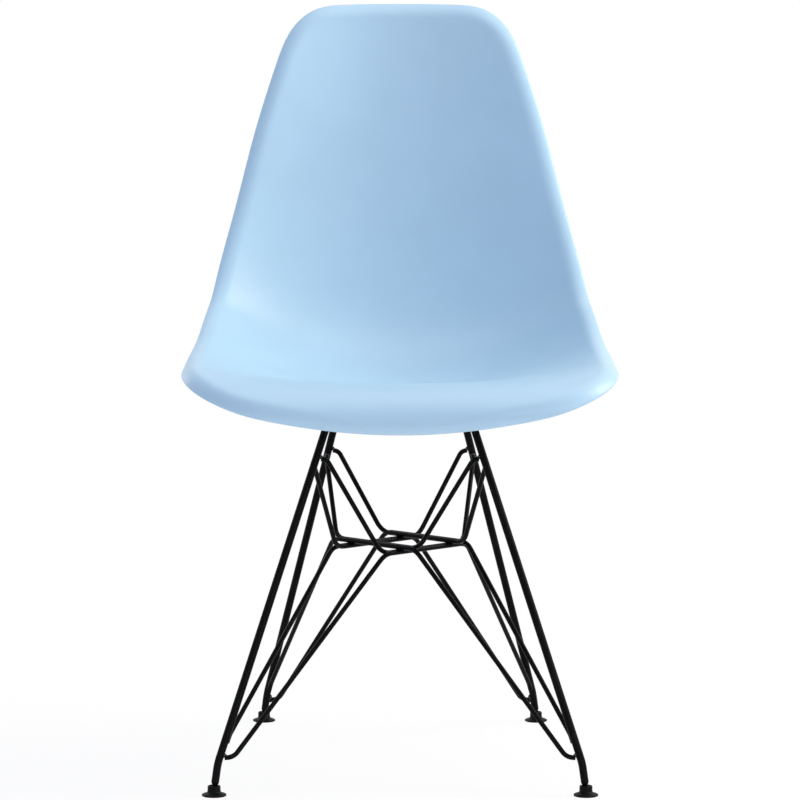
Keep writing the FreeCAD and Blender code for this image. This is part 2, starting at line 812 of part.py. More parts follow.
def add_spring_washer(name, side, end):
    low = bolt_point(side, end, head_top())
    ring = add_ring(
        "spring_ring_" + name,
        "Sizes.spring_diameter",
        "Sizes.bolt_diameter + 4 * Sizes.fit_gap",
        "Sizes.spring_thickness",
        FreeCAD.Placement(low, FreeCAD.Rotation()),
    )
    slit = add_object(
        "Part::Box",
        "spring_slit_" + name,
        Length="=Sizes.spring_diameter",
        Width="=Sizes.spring_slit",
        Height="=Sizes.spring_thickness",
    )
    slit.Placement = FreeCAD.Placement(low - Vector(0, size("spring_slit") / 2, 0), FreeCAD.Rotation())
    return add_object("Part::Cut", "spring_washer_" + name, Base=ring, Tool=slit)


def add_bolt(name, side, end):
    """A hexagon bolt from below, its head's lower corners turned off at an angle."""
    head_bottom = bolt_point(side, end, head_top() - size("head_height"))
    placement = FreeCAD.Placement(head_bottom, FreeCAD.Rotation())
    prism = add_object(
        "Part::Prism",
        "bolt_prism_" + name,
        Polygon=6,
        Circumradius="=Sizes.head_flats / sqrt(3)",
        Height="=Sizes.head_height",
        Placement=placement,
    )
    cone = add_object(
        "Part::Cone",
        "bolt_turning_" + name,
        Radius1="=Sizes.head_flats / 2 * 0.95",
        Radius2="=Sizes.head_flats / 2 * 0.95 + Sizes.head_height * 1.7",
        Height="=Sizes.head_height",
        Placement=placement,
    )
    head = add_object("Part::Common", "bolt_head_" + name, Base=prism, Tool=cone)
    shank = add_cylinder(
        "bolt_shank_" + name,
        "bolt_diameter",
        "Sizes.bolt_length + Sizes.head_height / 2",
        FreeCAD.Placement(shift_up(head_bottom, size("head_height") / 2), FreeCAD.Rotation()),
    )
    return add_object("Part::Fuse", "bolt_" + name, Base=head, Tool=shank)


def add_group(name, maker):
    """Identical small parts share one node, one solid at each of the four mounts."""
    parts = [maker(mount_name, side, end) for mount_name, side, end in each_mount()]
    return add_object("Part::Compound", name, Links=parts)


# Feet


def add_foot_stud(name, side, end):
    """The leg's turned end: a taper down to a ball."""
    centre = ball_centre(side, end)
    axis = leg_direction(side, end, centre.z)
    ball = add_object("Part::Sphere", "ball_" + name, Radius="=Sizes.ball_diameter / 2")
    ball.Placement = place_on(centre, axis)
    taper = add_object(
        "Part::Cone",
        "taper_" + name,
        Radius1="=Sizes.neck_diameter / 2",
        Radius2="=Sizes.rod_diameter / 2",
        Height="=Sizes.taper_reach - Sizes.neck_reach",
    )
    taper.Placement = place_on(centre + axis * size("neck_reach"), axis)
    return add_object("Part::Fuse", "foot_stud_" + name, Base=ball, Tool=taper)


def add_glide(name, side, end):
    """A floor glide: a low dome with an upright collar that holds the ball."""
    centre = ball_centre(side, end)
    floor = FreeCAD.Placement(Vector(centre.x, centre.y, 0), FreeCAD.Rotation())
    edge = add_cylinder("glide_edge_" + name, "glide_diameter", "Sizes.glide_edge", floor)
    dome_place = FreeCAD.Placement(Vector(centre.x, centre.y, size("glide_edge")), FreeCAD.Rotation())
    dome = add_object(
        "Part::Cone",
        "glide_dome_" + name,
        Radius1="=Sizes.glide_diameter / 2",
        Radius2="=Sizes.collar_diameter / 2",
        Height="=Sizes.glide_dome - Sizes.glide_edge",
        Placement=dome_place,
    )
    collar = add_cylinder("glide_collar_" + name, "collar_diameter", "Sizes.collar_height", floor)
    blank = add_object("Part::MultiFuse", "glide_blank_" + name, Shapes=[edge, dome, collar])
    doc.recompute()
    rims = []
    for number, rim in enumerate(blank.Shape.Edges, start=1):
        if rim.Closed and abs(rim.CenterOfMass.z - size("collar_height")) < 0.001:
            rims.append((number, size("collar_chamfer"), size("collar_chamfer")))
        if rim.Closed and rim.CenterOfMass.z < 0.001:
            rims.append((number, size("glide_edge") / 3, size("glide_edge") / 3))
    turned = add_object("Part::Chamfer", "glide_turned_" + name, Base=blank)
    turned.Edges = rims
    socket = add_object(
        "Part::Sphere",
        "socket_" + name,
        Radius="=Sizes.ball_diameter / 2 + Sizes.ball_gap",
        Placement=FreeCAD.Placement(centre, FreeCAD.Rotation()),
    )
    socket_radius = size("ball_diameter") / 2 + size("ball_gap")
    mouth_rise = math.sqrt(socket_radius**2 - (size("mouth_bottom") / 2) ** 2)
    funnel = add_object(
        "Part::Cone",
        "funnel_" + name,
        Radius1="=Sizes.mouth_bottom / 2",
        Radius2="=Sizes.mouth_top / 2",
        Height=size("collar_height") - centre.z - mouth_rise,
        Placement=FreeCAD.Placement(shift_up(centre, mouth_rise), FreeCAD.Rotation()),
    )
    hollow = add_object("Part::MultiFuse", "glide_hollow_" + name, Shapes=[socket, funnel])
    return add_object("Part::Cut", "glide_" + name, Base=turned, Tool=hollow)


def add_feet():
    feet = []
    for name, side, end in each_mount():
        feet.append(add_foot_stud(name, side, end))
        feet.append(add_glide(name, side, end))
    return feet


def add_mounting():
    pieces = [add_pad(name, side, end) for name, side, end in each_mount()]
    pieces += [add_plate(name, side, end) for name, side, end in each_mount()]
    pieces.append(add_group("threaded_inserts", add_insert))
    pieces.append(add_group("washers", add_washer))
    pieces.append(add_group("spring_washers", add_spring_washer))
    pieces.append(add_group("mounting_bolts", add_bolt))
    return pieces


def check(pieces):
    """Stops at the first object that failed, before anything is written."""
    for item in doc.Objects:
        if "Invalid" in item.State or "Error" in item.State:
            raise RuntimeError("%s could not be made: %s" % (item.Label, item.State))
    for piece in pieces:
        if piece.Shape.isNull() or not piece.Shape.isValid():
            raise RuntimeError("%s has no valid shape" % piece.Label)


def main():
    pieces = [add_seat_shell()] + add_mounting() + add_rods() + add_feet()
    doc.recompute()
    check(pieces)
    os.makedirs("parts", exist_ok=True)
    for piece in pieces:
        piece.Shape.exportStep("parts/%s.step" % piece.Label)
        print("%-30s %d solids %10.1f mm3" % (piece.Label, len(piece.Shape.Solids), piece.Shape.Volume))


main()
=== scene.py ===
import math

import bmesh
import bpy
import numpy as np
from bpy.props import FloatProperty, FloatVectorProperty, IntProperty, PointerProperty
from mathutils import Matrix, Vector, noise
from mathutils.bvhtree import BVHTree


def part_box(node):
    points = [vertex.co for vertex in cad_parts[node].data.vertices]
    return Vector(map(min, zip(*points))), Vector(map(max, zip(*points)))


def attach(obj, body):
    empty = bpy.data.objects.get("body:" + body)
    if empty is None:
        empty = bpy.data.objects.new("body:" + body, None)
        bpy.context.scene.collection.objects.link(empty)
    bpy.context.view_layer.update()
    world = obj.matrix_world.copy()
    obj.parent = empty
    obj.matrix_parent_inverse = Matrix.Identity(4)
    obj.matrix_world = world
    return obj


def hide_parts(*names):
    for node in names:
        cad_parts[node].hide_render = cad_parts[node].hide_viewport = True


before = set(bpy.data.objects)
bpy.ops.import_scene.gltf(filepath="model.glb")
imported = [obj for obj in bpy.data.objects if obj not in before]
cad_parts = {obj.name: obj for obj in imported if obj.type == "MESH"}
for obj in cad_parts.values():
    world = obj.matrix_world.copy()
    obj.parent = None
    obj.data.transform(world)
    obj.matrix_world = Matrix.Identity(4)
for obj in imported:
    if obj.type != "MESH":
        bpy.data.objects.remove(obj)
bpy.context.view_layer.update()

bl_info = {
    "name": "Moulded Shell Chair",
    "version": (1, 0, 0),
    "blender": (4, 5, 0),
    "location": "3D View > Sidebar > Chair",
    "description": "Dresses a moulded plastic shell chair on a bent rod base",
    "category": "Object",
}

MM = 0.001
UP = Vector((0.0, 0.0, 1.0))
CHAIR = "chair"
CORNERS = ("front_left", "front_right", "back_left", "back_right")

# The shell's centre line from the tip of the front lip to the top of the back, in mm.
# Each stretch: its run towards the back, its rise, and how far the sides stand over its end.
CENTRE_LINE = {
    "lip_face": (-3.1, 20.8, 8.8),
    "lip_turn": (15.6, 18.0, 7.0),
    "lip_top": (36.4, 10.5, 12.0),
    "seat_front": (64.9, -6.2, 26.5),
    "seat_middle": (89.1, -12.8, 46.0),
    "seat_low": (88.0, -9.0, 70.0),
    "seat_rear": (70.0, 9.0, 87.0),
    "back_turn": (57.0, 34.0, 87.5),
    "back_low": (38.0, 61.0, 81.5),
    "back_middle": (27.0, 81.0, 78.0),
    "back_high": (21.0, 91.0, 80.0),
    "back_shoulder": (14.5, 77.0, 92.0),
    "back_top": (12.5, 76.8, 72.0),
}
LIP_TIP_DISH = 4.4  # how far the sides stand over the lip's tip
DISH_POWER = 2.06  # how the dish rises from the middle to the sides
SEAT_HEIGHT = 434.0  # top of the lip over the floor
LIP_REACH = 273.6  # face of the lip ahead of the chair's middle
WALL = 5.2

# The outline, in mm: half of the width at the ends of those stretches, then points of the
# round front edge, as half width and way from the lip's tip, and of the round top edge, as
# half width and way down from the top
HALF_WIDTHS = {
    "lip_top": 222.7,
    "seat_front": 230.7,
    "seat_middle": 229.6,
    "seat_rear": 220.3,
    "back_low": 206.9,
    "back_middle": 188.8,
    "back_high": 166.9,
    "back_shoulder": 143.7,
}
FRONT_ROUND = [(66.0, 5.3), (122.0, 17.6), (184.0, 39.2)]
TOP_ROUND = [(121.6, 28.4), (98.0, 8.6), (61.0, 1.5)]
EDGE_SAMPLES = 400

# The rim bends outwards: the width of the bent band and how far its edge stands out, in mm
FLARE_BAND = 18.0
FLARE_DEPTH = 11.4

# Rings of the shell from its plain middle out to the rim, in mm inside the outline
RING_INSETS = (36.0, 31.0, 26.5, 22.5, 19.0, 16.0, 13.2, 10.6, 8.0, 5.6, 3.2, 1.0)

# The rounding of the rim's edge, as a share of half the wall, and the bend it rounds
RIM_ROUND = 0.98
RIM_STEPS = 4
RIM_ANGLE = math.radians(60.0)

# Half of a boss cut through its axis, as (radius, height over its foot) in mm: the roof and
# the side of the insert's hole, the foot, the outside, and back over the top
BOSS_PROFILE = (
    (0.0, 9.05), (5.55, 9.05), (5.55, 0.0), (13.5, 0.0), (14.0, 0.5), (14.0, 3.0),
    (14.3, 4.6), (15.2, 6.2), (16.6, 7.4), (16.6, 8.4), (0.0, 10.4),
)
BOSS_SIDES = 48
HOLE_RADIUS = 6.0
HOLE_TOP = 9.1

# Over its straight foot a boss follows the shell, at this share of its depth under its top
BOSS_STRAIGHT = 4.0
BOSS_TOP = 10.4
BOSS_SINK = 0.62

# Welds, in metres: how near two rods are where they are joined, how far apart two beads
# stand, half of the longest bead, and its overrun as a share of its half width
WELD_REACH = 0.0009
WELD_GAP = 0.03
BEAD_LIMIT = 0.008
BEAD_OVERRUN = 0.4
BEAD_SEED_STEP = 1.7
LUMP_DEPTH, LUMP_SCALE = 0.10, 2.1
RIPPLE_DEPTH, RIPPLE_RATE = 0.05, 4.0

# Half of a glide cut through its axis, as (radius, height) in mm: the sole, the round edge,
# the shoulder, the collar and its lip. The ball's socket goes on from there to the axis.
GLIDE_PROFILE = (
    (0.0, 0.0), (12.3, 0.0), (12.75, 0.2), (13.0, 0.65), (13.0, 1.45), (12.8, 1.85),
    (11.9, 2.3), (10.4, 2.85), (8.9, 3.35), (7.9, 3.85), (7.25, 4.5), (6.95, 5.4),
    (6.9, 6.6), (6.9, 9.9), (6.7, 10.55), (6.25, 10.95), (5.85, 11.0), (5.6, 10.8),
    (3.6, 9.36),
)
GLIDE_SIDES = 64
SOCKET_RADIUS = 4.6
SOCKET_HEIGHT = 6.5
SOCKET_ANGLES = range(30, -90, -15)

# Each lamp's place, its width in metres and its colour. The stage's settings hold its power.
LAMPS = {
    "key": ((2.6, 0.2, 2.3), 2.0, (1.0, 0.93, 0.76)),
    "front": ((1.8, -3.2, 1.0), 2.0, (1.0, 1.0, 1.0)),
    "top": ((0.2, 0.2, 3.0), 2.4, (1.0, 1.0, 1.0)),
    "back": ((-2.4, 2.4, 1.6), 2.2, (1.0, 1.0, 1.0)),
}
LAMP_AIM = Vector((0.0, 0.0, 0.45))
SENSOR_WIDTH = 36.0
VIEW_LIMIT = 100.0
WHITE = (1.0, 1.0, 1.0, 1.0)
AMBIENT_COLOUR = (0.78, 0.80, 1.0, 1.0)
FLOOR_COLOUR = (0.94, 0.94, 0.94, 1.0)
FLOOR_RADIUS = 40.0
FLOOR_SIDES = 96

# The floor's share of white under the chair, and from where to where it grows to 1
FLOOR_WHITE = 0.88
FLOOR_FADE = (0.35, 1.3)


# Shape helpers


class SmoothLine:
    """A cubic line through points, each with its own station along the line."""

    def __init__(self, stations, points, closed=False):
        self.stations = np.array(stations, float)
        self.points = np.array(points, float)
        step = np.diff(self.stations)
        slope = np.diff(self.points, axis=0) / step[:, None]
        count = len(self.stations)
        rows = np.zeros((count, count))
        right = np.zeros_like(self.points)
        for i in range(1, count - 1):
            rows[i, i - 1 : i + 2] = step[i], 2 * (step[i - 1] + step[i]), step[i - 1]
            right[i] = 3 * (step[i] * slope[i - 1] + step[i - 1] * slope[i])
        if closed:
            rows[0, 0], rows[0, -1] = 1, -1
            rows[-1, 0], rows[-1, 1] = 2 * step[-1], step[-1]
            rows[-1, -1], rows[-1, -2] = 2 * step[0], step[0]
            right[-1] = 3 * (step[-1] * slope[0] + step[0] * slope[-1])
        else:
            rows[0, 0] = rows[-1, -1] = 1
            right[0] = self.end_slope(self.stations[:4], self.points[:4])
            right[-1] = self.end_slope(self.stations[:-5:-1], self.points[:-5:-1])
        self.slopes = np.linalg.solve(rows, right)

    @staticmethod
    def end_slope(stations, points):
        """The slope at the first of four points of the cubic through them."""
        return np.linalg.solve(np.vander(stations - stations[0], 4), points)[2]

    def terms(self, s):
        """The stretch at each station: its start, rise and end slopes, and the share passed."""
        s = np.asarray(s, float)
        last_stretch = len(self.stations) - 2
        i = np.clip(np.searchsorted(self.stations, s, side="right") - 1, 0, last_stretch)
        span = (self.stations[i + 1] - self.stations[i])[..., None]
        t = (s - self.stations[i])[..., None] / span
        rise = self.points[i + 1] - self.points[i]
        return self.points[i], rise, self.slopes[i] * span, self.slopes[i + 1] * span, t

    def at(self, s):
        """The points at stations s."""
        start, rise, first, last, t = self.terms(s)
        bend = 3 * rise - 2 * first - last + t * (first + last - 2 * rise)
        return start + t * (first + t * bend)

    def along(self, s):
        """The unit directions at stations s."""
        _, rise, first, last, t = self.terms(s)
        bend = 2 * (3 * rise - 2 * first - last) + 3 * t * (first + last - 2 * rise)
        slope = first + t * bend
        return slope / np.linalg.norm(slope, axis=-1, keepdims=True)


class ShellForm:
    """The middle of the shell's wall, charted by x across and s along the centre line."""

    def __init__(self):
        steps = np.array([row[:2] for row in CENTRE_LINE.values()])
        points = np.vstack([(0.0, 0.0), np.cumsum(steps, axis=0)])
        stations = np.concatenate([(0.0,), np.cumsum(np.hypot(*steps.T))])
        names = list(CENTRE_LINE)
        self.station = dict(zip(names, stations[1:]))
        self.length = stations[-1]
        lip_top = points[1 + names.index("lip_top")]
        forward = -LIP_REACH + WALL / 2 - points[:, 0].min()
        lift = SEAT_HEIGHT - WALL / 2 - lip_top[1]
        self.centre_line = SmoothLine(stations, points + (forward, lift))
        dishes = [LIP_TIP_DISH] + [row[2] for row in CENTRE_LINE.values()]
        self.dish = SmoothLine(stations, np.array(dishes)[:, None])
        self.half_width = HALF_WIDTHS["seat_front"]

    def point(self, x, s, inset):
        """Places in metres: x across, s along and the inset from the outline in mm."""
        base = self.centre_line.at(s)
        along = self.centre_line.along(s)
        rise = self.dish.at(s)[..., 0] * (np.abs(x) / self.half_width) ** DISH_POWER
        rise = rise - FLARE_DEPTH * np.maximum(0.0, 1.0 - inset / FLARE_BAND) ** 2
        y = base[..., 0] - along[..., 1] * rise
        z = base[..., 1] + along[..., 0] * rise
        return np.stack([np.broadcast_to(x, y.shape), y, z], axis=-1) * MM

    def outline(self):
        """The closed edge in the chart, the stations of its four corners and its length."""
        side = [(0.0, 0.0), *FRONT_ROUND]
        side += [(half_width, self.station[name]) for name, half_width in HALF_WIDTHS.items()]
        side += [(x, self.length - down) for x, down in TOP_ROUND]
        side.append((0.0, self.length))
        loop = np.array(side + [(-x, s) for x, s in reversed(side[1:-1])] + side[:1])
        stations = np.concatenate([(0.0,), np.cumsum(np.hypot(*np.diff(loop, axis=0).T))])
        front = len(FRONT_ROUND)
        top = len(side) - 1 - len(TOP_ROUND)
        places = [front, top, len(loop) - 1 - top, len(loop) - 1 - front]
        return SmoothLine(stations, loop, closed=True), stations[places], stations[-1]

    def spokes(self, across, along):
        """Places round the outline and their inward directions, from the front left corner."""
        line, (front_right, top_right, top_left, front_left), total = self.outline()
        bounds = [front_left - total, front_right, top_right, top_left, front_left]
        stations = []
        for start, end, count in zip(bounds, bounds[1:], (across, along, across, along)):
            fine = np.linspace(start, end, EDGE_SAMPLES)
            lengths = np.hypot(*np.diff(line.at(fine % total), axis=0).T)
            travel = np.concatenate([(0.0,), np.cumsum(lengths)])
            even = np.linspace(0.0, travel[-1], count + 1)[:-1]
            stations.append(np.interp(even, travel, fine))
        stations = np.concatenate(stations) % total
        direction = line.along(stations)
        return line.at(stations), np.stack([-direction[:, 1], direction[:, 0]], axis=1)


def finish_mesh(name, bm, material, smooth=True):
    """Turns a bmesh into an object at the origin with one material."""
    mesh = bpy.data.meshes.new(name)
    bm.to_mesh(mesh)
    bm.free()
    for face in mesh.polygons:
        face.use_smooth = smooth
    mesh.materials.append(material)
    piece = bpy.data.objects.new(name, mesh)
    bpy.context.scene.collection.objects.link(piece)
    return piece


def lathe(bm, profile, centre, steps):
    """Spins a profile of (radius, height) in mm about an upright axis. Both ends lie on it."""
    edges = []
    before = None
    for radius, height in profile:
        vert = bm.verts.new(centre + Vector((radius * MM, 0.0, height * MM)))
        if before:
            edges.append(bm.edges.new((before, vert)))
        before = vert
    start = {vert for edge in edges for vert in edge.verts}
    bmesh.ops.spin(
        bm,
        geom=list(start) + edges,
        cent=centre,
        axis=UP,
        angle=2 * math.pi,
        steps=steps,
        use_merge=True,
    )


def close_up(bm):
    """Merges doubled points and turns every face outwards."""
    bmesh.ops.remove_doubles(bm, verts=bm.verts[:], dist=1e-6)
    bmesh.ops.recalc_face_normals(bm, faces=bm.faces[:])


# Finishes


class Wire:
    """A node's output that can be used in sums."""

    def __init__(self, finish, socket):
        self.finish = finish
        self.socket = socket

    def sum(self, operation, first, second):
        return self.finish.node("ShaderNodeMath", {0: first, 1: second}, operation=operation)

    def __add__(self, other):
        return self.sum("ADD", self, other)

    def __radd__(self, other):
        return self.sum("ADD", other, self)

    def __sub__(self, other):
        return self.sum("SUBTRACT", self, other)

    def __rsub__(self, other):
        return self.sum("SUBTRACT", other, self)

    def __mul__(self, other):
        return self.sum("MULTIPLY", self, other)

    def __rmul__(self, other):
        return self.sum("MULTIPLY", other, self)


class Finish:
    """One material, or the world, and its nodes."""

    def __init__(self, name, owners="materials"):
        self.owner = getattr(bpy.data, owners).new(name)
        self.owner.use_nodes = True
        self.tree = self.owner.node_tree
        self.tree.nodes.clear()

    def node(self, kind, sockets=None, output=0, **settings):
        """Adds a node: its settings first, then the values or links of its sockets."""
        node = self.tree.nodes.new(kind)
        for key, value in settings.items():
            setattr(node, key, value)
        for key, value in (sockets or {}).items():
            if isinstance(value, Wire):
                self.tree.links.new(value.socket, node.inputs[key])
            else:
                node.inputs[key].default_value = value
        return Wire(self, node.outputs[output]) if node.outputs else None

    def place(self):
        """Coordinates that stay with the piece, in metres."""
        return self.node("ShaderNodeTexCoord", output="Object")

    def noise(self, scale, detail=2.0, roughness=0.5, stretch=None):
        """A mottled value about 0.5. The stretch is a scale for each axis."""
        place = self.place()
        if stretch:
            place = self.node("ShaderNodeMapping", {"Vector": place, "Scale": stretch})
        return self.node(
            "ShaderNodeTexNoise",
            {"Vector": place, "Scale": scale, "Detail": detail, "Roughness": roughness},
        )

    def between(self, share, low, high):
        """A colour between two colours. Sockets 6 and 7 and output 2 are the colour ones."""
        return self.node(
            "ShaderNodeMix",
            {0: share, 6: (*low, 1.0), 7: (*high, 1.0)},
            output=2,
            data_type="RGBA",
        )

    def spread(self, value, low, high):
        """Stretches a value so that low becomes 0 and high becomes 1."""
        return self.node(
            "ShaderNodeMapRange",
            {"Value": value, "From Min": low, "From Max": high},
            interpolation_type="SMOOTHSTEP",
        )

    def bump(self, height, depth, strength, under=None):
        """A normal from a height, laid over another normal where one is given."""
        sockets = {"Height": height, "Distance": depth, "Strength": strength}
        if under:
            sockets["Normal"] = under
        return self.node("ShaderNodeBump", sockets)

    def seen(self):
        """1 where the camera, a gloss or a glass looks, and 0 for light on its way."""
        path = "ShaderNodeLightPath"
        seen = self.node(path, output="Is Camera Ray")
        for ray in ("Is Glossy Ray", "Is Transmission Ray"):
            seen = seen + self.node(path, output=ray)
        return seen

    def surface(self, **sockets):
        """Ends the material in one principled surface. Underscores stand for spaces."""
        named = {}
        for key, value in sockets.items():
            key = key.replace("_", " ").title().replace("Ior", "IOR")
            if key.endswith("Color") and not isinstance(value, Wire):
                value = (*value, 1.0)
            named[key] = value
        shader = self.node("ShaderNodeBsdfPrincipled", named)
        self.node("ShaderNodeOutputMaterial", {"Surface": shader})
        return self.owner


def shades(colour, darker, lighter):
    """A colour's darker and lighter neighbours."""
    dark = tuple(channel * darker for channel in colour)
    light = tuple(min(1.0, channel * lighter) for channel in colour)
    return dark, light


def moulded_plastic(settings):
    """Dyed polypropylene with a fine moulded grain and faint flow clouds."""
    finish = Finish("moulded_plastic")
    clouds = finish.noise(scale=9.0, detail=3.0, roughness=0.55)
    clouds = finish.spread(clouds, low=0.3, high=0.7)
    specks = finish.spread(finish.noise(scale=900.0, detail=1.0), low=0.35, high=0.65)
    dark, light = shades(settings.colour, darker=0.965, lighter=1.02)
    colour = finish.between(clouds * 0.75 + specks * 0.25, dark, light)
    grain = finish.noise(scale=1500.0, detail=2.0, roughness=0.6)
    waves = finish.noise(scale=28.0, detail=1.0)
    patches = finish.noise(scale=55.0, detail=2.0)
    normal = finish.bump(waves, depth=0.0006, strength=0.35)
    normal = finish.bump(grain, depth=0.00003, strength=0.35, under=normal)
    rough = settings.roughness + (patches - 0.5) * 0.10 + (grain - 0.5) * 0.06
    return finish.surface(base_color=colour, roughness=rough, normal=normal)


def painted_rod(settings):
    """Black powder coat: satin, slightly pebbled and dusty in places."""
    finish = Finish("painted_rod")
    pebble = finish.noise(scale=1100.0, detail=2.0, roughness=0.6)
    dust = finish.noise(scale=38.0, detail=3.0, roughness=0.6)
    dust = finish.spread(dust, low=0.45, high=0.75)
    dark, light = shades(settings.colour, darker=0.85, lighter=3.0)
    colour = finish.between(dust * 0.5 + (pebble - 0.5) * 0.3, dark, light)
    rough = settings.roughness + dust * 0.10 + (pebble - 0.5) * 0.12
    return finish.surface(
        base_color=colour,
        roughness=rough,
        specular_ior_level=0.045,
        normal=finish.bump(pebble, depth=0.00005, strength=0.35),
    )


def glide_plastic():
    """Black nylon with a turned grain, scuffed grey near the floor."""
    finish = Finish("glide_plastic")
    height = finish.node("ShaderNodeSeparateXYZ", {0: finish.place()}, output="Z")
    low = 1.0 - finish.spread(height, low=0.0, high=0.0035)
    scuffs = finish.noise(scale=420.0, detail=4.0, roughness=0.7, stretch=(1.0, 1.0, 5.0))
    worn = low * finish.spread(scuffs, low=0.5, high=0.72)
    colour = finish.between(worn * 0.8, (0.0032, 0.0032, 0.0036), (0.03, 0.03, 0.032))
    grain = finish.noise(scale=1600.0, detail=2.0)
    rough = 0.42 + worn * 0.3 + (grain - 0.5) * 0.12
    return finish.surface(
        base_color=colour,
        roughness=rough,
        specular_ior_level=0.07,
        normal=finish.bump(grain, depth=0.00005, strength=0.5),
    )


def pad_rubber():
    """Black rubber, matt and a little dusty."""
    finish = Finish("pad_rubber")
    dust = finish.noise(scale=220.0, detail=4.0, roughness=0.65)
    dust = finish.spread(dust, low=0.4, high=0.75)
    grain = finish.noise(scale=900.0, detail=3.0)
    colour = finish.between(dust, (0.008, 0.008, 0.008), (0.024, 0.0235, 0.0225))
    return finish.surface(
        base_color=colour,
        roughness=0.78 + dust * 0.12,
        specular_ior_level=0.25,
        normal=finish.bump(grain, depth=0.0001, strength=0.5),
    )


def zinc_steel():
    """Zinc plate: bright bluish grey with soft clouds and fine turning marks."""
    finish = Finish("zinc_steel")
    clouds = finish.noise(scale=260.0, detail=3.0, roughness=0.6)
    clouds = finish.spread(clouds, low=0.3, high=0.7)
    lines = finish.noise(scale=700.0, detail=2.0, stretch=(1.0, 1.0, 12.0))
    colour = finish.between(clouds, (0.42, 0.43, 0.45), (0.66, 0.68, 0.70))
    rough = 0.26 + clouds * 0.16 + (lines - 0.5) * 0.1
    normal = finish.bump(lines, depth=0.00004, strength=0.4)
    return finish.surface(base_color=colour, metallic=1.0, roughness=rough, normal=normal)


def insert_brass():
    """Turned brass, dulled in patches."""
    finish = Finish("insert_brass")
    clouds = finish.noise(scale=300.0, detail=3.0, roughness=0.6)
    clouds = finish.spread(clouds, low=0.35, high=0.7)
    lines = finish.noise(scale=900.0, detail=1.0, stretch=(1.0, 1.0, 10.0))
    colour = finish.between(clouds, (0.50, 0.34, 0.13), (0.72, 0.53, 0.24))
    rough = 0.28 + clouds * 0.2 + (lines - 0.5) * 0.08
    normal = finish.bump(lines, depth=0.00004, strength=0.4)
    return finish.surface(base_color=colour, metallic=1.0, roughness=rough, normal=normal)


def paint_nodes(names, material):
    """Gives CAD nodes their finish. Their shapes stay as they are."""
    for name in names:
        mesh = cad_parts[name].data
        mesh.materials.clear()
        mesh.materials.append(material)


# Settings


class ShellSettings(bpy.types.PropertyGroup):
    """The moulded shell"""

    colour: FloatVectorProperty(
        name="Colour",
        description="Dye of the moulded plastic",
        subtype="COLOR",
        size=3,
        min=0.0,
        max=1.0,
        default=(0.402, 0.606, 0.756),
    )
    roughness: FloatProperty(
        name="Roughness",
        description="How matt the moulded plastic is",
        subtype="FACTOR",
        min=0.0,
        max=1.0,
        default=0.40,
    )
    across: IntProperty(
        name="Faces across", description="Faces across the shell", min=16, max=96, default=64
    )
    along: IntProperty(
        name="Faces along", description="Faces along the shell", min=32, max=160, default=112
    )


class RodSettings(bpy.types.PropertyGroup):
    """The rod base"""

    colour: FloatVectorProperty(
        name="Colour",
        description="Powder coat of the rods",
        subtype="COLOR",
        size=3,
        min=0.0,
        max=1.0,
        default=(0.0032, 0.0032, 0.0035),
    )
    roughness: FloatProperty(
        name="Roughness",
        description="How matt the powder coat is",
        subtype="FACTOR",
        min=0.0,
        max=1.0,
        default=0.34,
    )
    weld_size: FloatProperty(
        name="Weld size",
        description="Half the width of a weld bead",
        subtype="DISTANCE",
        unit="LENGTH",
        min=0.001,
        max=0.004,
        default=0.0022,
    )


class StudioSettings(bpy.types.PropertyGroup):
    """Camera and light"""

    lens: FloatProperty(
        name="Lens",
        description="Focal length of the camera",
        subtype="DISTANCE_CAMERA",
        default=172.9,
    )
    distance: FloatProperty(
        name="Distance",
        description="Camera ahead of the middle of the chair",
        subtype="DISTANCE",
        unit="LENGTH",
        default=4.2076,
    )
    height: FloatProperty(
        name="Height",
        description="Camera over the floor",
        subtype="DISTANCE",
        unit="LENGTH",
        default=0.8105,
    )
    pitch: FloatProperty(
        name="Pitch",
        description="How far the camera looks down",
        subtype="ANGLE",
        unit="ROTATION",
        default=math.radians(5.61),
    )
    key_power: FloatProperty(
        name="Key light",
        description="Power of the light on the right",
        unit="POWER",
        min=0.0,
        default=82.0,
    )
    front_power: FloatProperty(
        name="Front light",
        description="Power of the low light in front",
        unit="POWER",
        min=0.0,
        default=22.0,
    )
    top_power: FloatProperty(
        name="Top light",
        description="Power of the light overhead",
        unit="POWER",
        min=0.0,
        default=15.5,
    )
    back_power: FloatProperty(
        name="Back light",
        description="Power of the light behind on the left",
        unit="POWER",
        min=0.0,
        default=20.0,
    )
    ambient: FloatProperty(
        name="Ambient", description="Strength of the light from all round", min=0.0, default=0.63
    )


class ChairSettings(bpy.types.PropertyGroup):
    """All settings of the chair"""

    shell: PointerProperty(type=ShellSettings, name="Shell", description="The moulded shell")
    rods: PointerProperty(type=RodSettings, name="Rods", description="The rod base")
    studio: PointerProperty(type=StudioSettings, name="Studio", description="Camera and light")


# Shell


